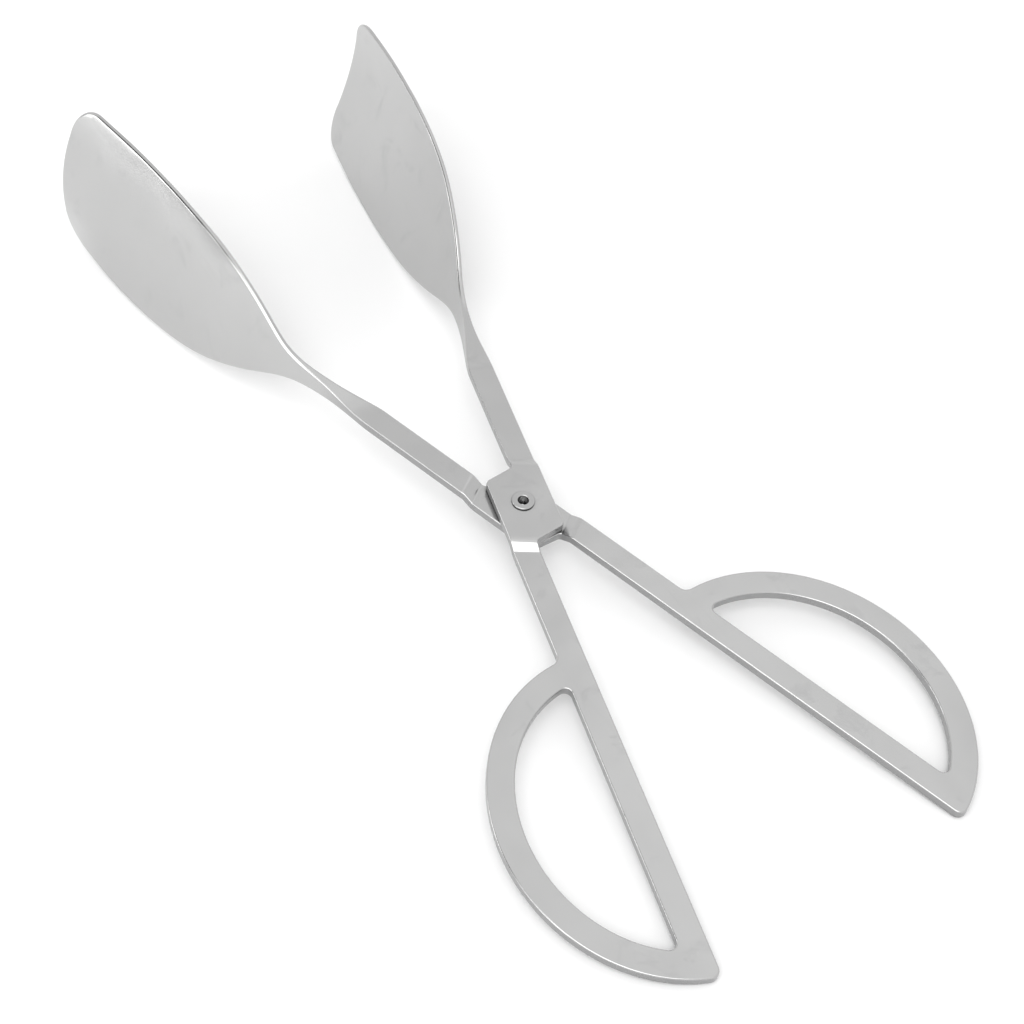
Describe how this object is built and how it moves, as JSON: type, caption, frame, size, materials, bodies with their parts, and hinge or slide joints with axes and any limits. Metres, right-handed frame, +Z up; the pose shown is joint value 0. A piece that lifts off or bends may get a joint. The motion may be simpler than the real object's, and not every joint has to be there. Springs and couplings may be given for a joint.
{
  "type": "scissor tongs",
  "caption": "Scissor-action serving tongs: two stepped strip arms crossed at a hollow rivet, each with a D-shaped finger loop and an upright scooped blade.",
  "frame": {"origin": "on the table, under the middle of the opened tongs", "axes": "+Y from the finger loops to the blades, +Z up from the table, +X to the right seen from the handles"},
  "size_m": [0.115, 0.275, 0.0424],
  "materials": {
    "arm_steel": "satin polished stainless steel, faint handling marks",
    "rivet_steel": "polished stainless steel rivet"
  },
  "bodies": {
    "lower": {"lower_arm": "arm_steel", "pivot_rivet": "rivet_steel"},
    "upper": {"upper_arm": "arm_steel"}
  },
  "joints": [
    {"name": "pivot", "type": "hinge", "parent": "lower", "child": "upper", "pos_m": [0, -0.01912, 0.01041], "axis": [0, -0.0772, 0.997], "range_deg": [-75, 29.5]}
  ]
}
